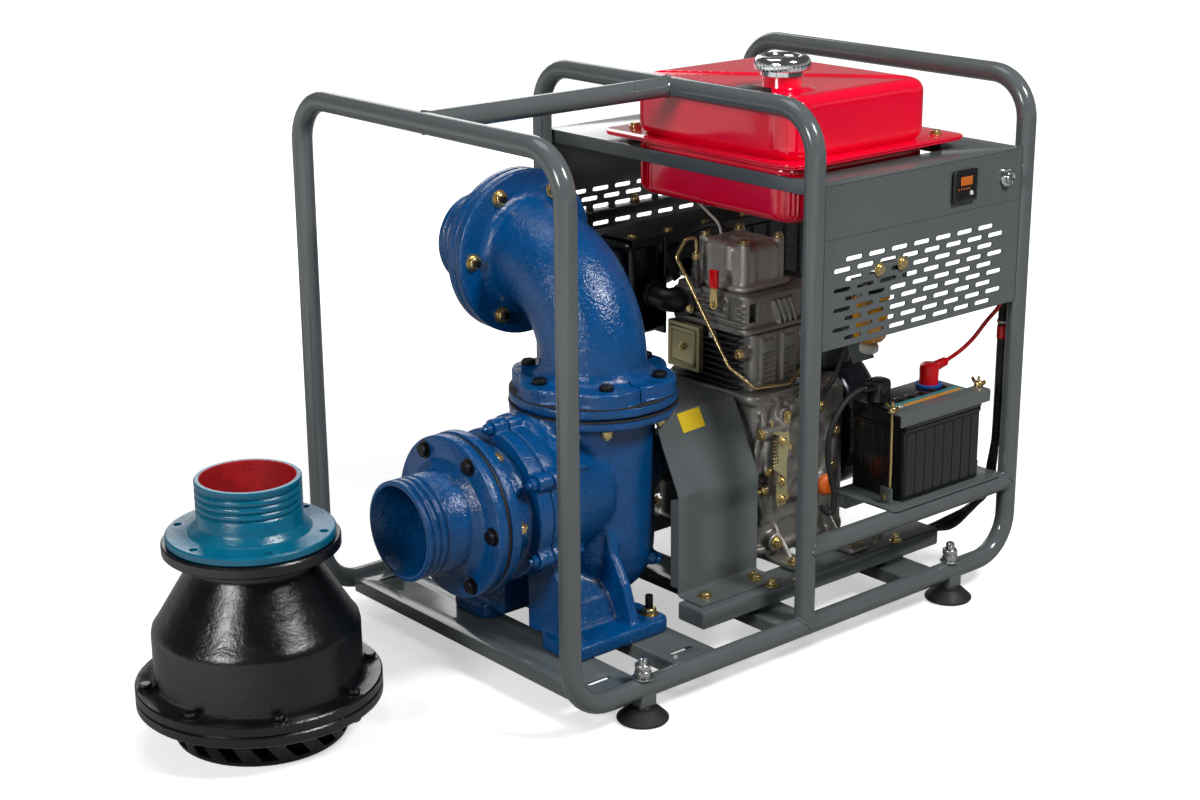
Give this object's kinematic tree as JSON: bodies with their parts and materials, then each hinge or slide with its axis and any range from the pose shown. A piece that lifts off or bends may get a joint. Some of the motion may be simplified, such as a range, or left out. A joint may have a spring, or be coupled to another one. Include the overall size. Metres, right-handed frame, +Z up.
{
  "type": "trash pump set",
  "caption": "Diesel self-priming trash pump in a tube frame with rubber feet, fuel tank, battery and hose tails, with its free-standing foot valve.",
  "frame": {"origin": "on the ground, under the middle of the set's overall length and width", "axes": "+X from the suction end to the engine end, +Y from the control side to the discharge side, +Z up"},
  "size_m": [1.467, 0.715, 0.925],
  "materials": {
    "amber_plastic": "clear amber",
    "black_paint": "satin black heat paint",
    "black_plastic": "moulded",
    "black_rubber": "matt",
    "cast_aluminium": "as cast",
    "cast_iron": "machined",
    "chrome": "polished",
    "frame_paint": "semi-gloss powder coat",
    "orange_plastic": "moulded",
    "pump_enamel": "glossy enamel on cast iron",
    "red_rubber": "matt",
    "sheet_paint": "semi-gloss powder coat",
    "tank_red": "high gloss enamel",
    "valve_black": "satin black enamel on cast iron",
    "valve_enamel": "glossy enamel on cast iron",
    "white_plastic": "moulded",
    "yellow_zinc": "yellow passivated zinc"
  },
  "bodies": {
    "frame": {"air_cleaner": "black_plastic", "battery": "black_plastic", "battery_rail": "frame_paint", "battery_tray": "sheet_paint", "bed_front_channel": "sheet_paint", "bed_rear_channel": "sheet_paint", "coupling_guard": "sheet_paint", "crankcase": "cast_aluminium", "cylinder": "black_paint", "cylinder_head": "cast_aluminium", "discharge_elbow": "pump_enamel", "discharge_tail": "pump_enamel", "fan_shroud": "black_paint", "far_bed_beam": "sheet_paint", "far_panel": "sheet_paint", "far_rail": "frame_paint", "foot_front_far": "black_rubber", "foot_front_near": "black_rubber", "foot_rear_far": "black_rubber", "foot_rear_near": "black_rubber", "front_channel": "sheet_paint", "front_hoop": "frame_paint", "fuel_filter": "amber_plastic", "hold_down": "sheet_paint", "hour_meter": "black_plastic", "injection_pipe": "yellow_zinc", "middle_hoop": "frame_paint", "muffler": "black_paint", "near_bed_beam": "sheet_paint", "near_panel": "sheet_paint", "near_rail": "frame_paint", "negative_lead": "red_rubber", "positive_lead": "red_rubber", "pump_body": "pump_enamel", "rear_harness": "black_rubber", "rear_hoop": "frame_paint", "rocker_cover": "cast_aluminium", "second_channel": "sheet_paint", "spine_tube": "frame_paint", "suction_cover": "pump_enamel", "suction_gasket": "black_rubber", "suction_tail": "pump_enamel", "tank_lower": "tank_red", "tank_upper": "tank_red", "top_shelf": "sheet_paint", "valve_base": "valve_black", "valve_body": "valve_black", "valve_tail": "valve_enamel"},
    "shaft_line": {"crankshaft": "cast_iron", "pump_rotor": "cast_iron"},
    "suction_flap": {"suction_flap": "black_rubber"},
    "valve_flap": {"valve_flap": "black_rubber"},
    "tank_cap": {"tank_cap": "chrome"},
    "key_switch": {"key_switch": "chrome"},
    "decompression_lever": {"decompression_lever": "yellow_zinc"},
    "throttle_lever": {"throttle_lever": "yellow_zinc"},
    "drain_knob": {"drain_knob": "white_plastic"},
    "oil_cap": {"oil_cap": "orange_plastic"},
    "wing_nut_front": {"wing_nut_front": "yellow_zinc"},
    "wing_nut_rear": {"wing_nut_rear": "yellow_zinc"}
  },
  "joints": [
    {"name": "shaft_spin", "type": "hinge", "parent": "frame", "child": "shaft_line", "pos_m": [0, -0.04725, 0.2794], "axis": [1, 0, 0], "continuous": true},
    {"name": "suction_flap_swing", "type": "hinge", "parent": "frame", "child": "suction_flap", "pos_m": [-0.2336, -0.04725, 0.3444], "axis": [0, -1, 0], "range_deg": [0, 60]},
    {"name": "valve_flap_swing", "type": "hinge", "parent": "frame", "child": "valve_flap", "pos_m": [-0.6545, 0.02935, 0.0763], "axis": [0, -1, 0], "range_deg": [0, 50]},
    {"name": "tank_cap_turn", "type": "hinge", "parent": "frame", "child": "tank_cap", "pos_m": [0.3075, -0.16725, 0.903], "axis": [0, 0, 1], "range_deg": [0, 90]},
    {"name": "key_turn", "type": "hinge", "parent": "frame", "child": "key_switch", "pos_m": [0.6625, -0.32655, 0.7107], "axis": [0, 1, 0], "range_deg": [0, 80]},
    {"name": "decompression_lift", "type": "hinge", "parent": "frame", "child": "decompression_lever", "pos_m": [0.2552, -0.07725, 0.522], "axis": [1, 0, 0], "range_deg": [0, 70]},
    {"name": "throttle_swing", "type": "hinge", "parent": "frame", "child": "throttle_lever", "pos_m": [0.3135, -0.18655, 0.3494], "axis": [0, 1, 0], "range_deg": [-30, 30]},
    {"name": "drain_knob_turn", "type": "hinge", "parent": "frame", "child": "drain_knob", "pos_m": [0.4075, -0.27325, 0.4707], "axis": [0, 0, 1], "continuous": true},
    {"name": "oil_cap_turn", "type": "hinge", "parent": "frame", "child": "oil_cap", "pos_m": [0.3975, -0.19355, 0.2134], "axis": [0, 1, 0], "continuous": true},
    {"name": "wing_nut_front_turn", "type": "hinge", "parent": "frame", "child": "wing_nut_front", "pos_m": [0.4455, -0.29425, 0.3519], "axis": [0, 0, 1], "continuous": true},
    {"name": "wing_nut_rear_turn", "type": "hinge", "parent": "frame", "child": "wing_nut_rear", "pos_m": [0.6595, -0.29425, 0.3519], "axis": [0, 0, 1], "continuous": true}
  ]
}
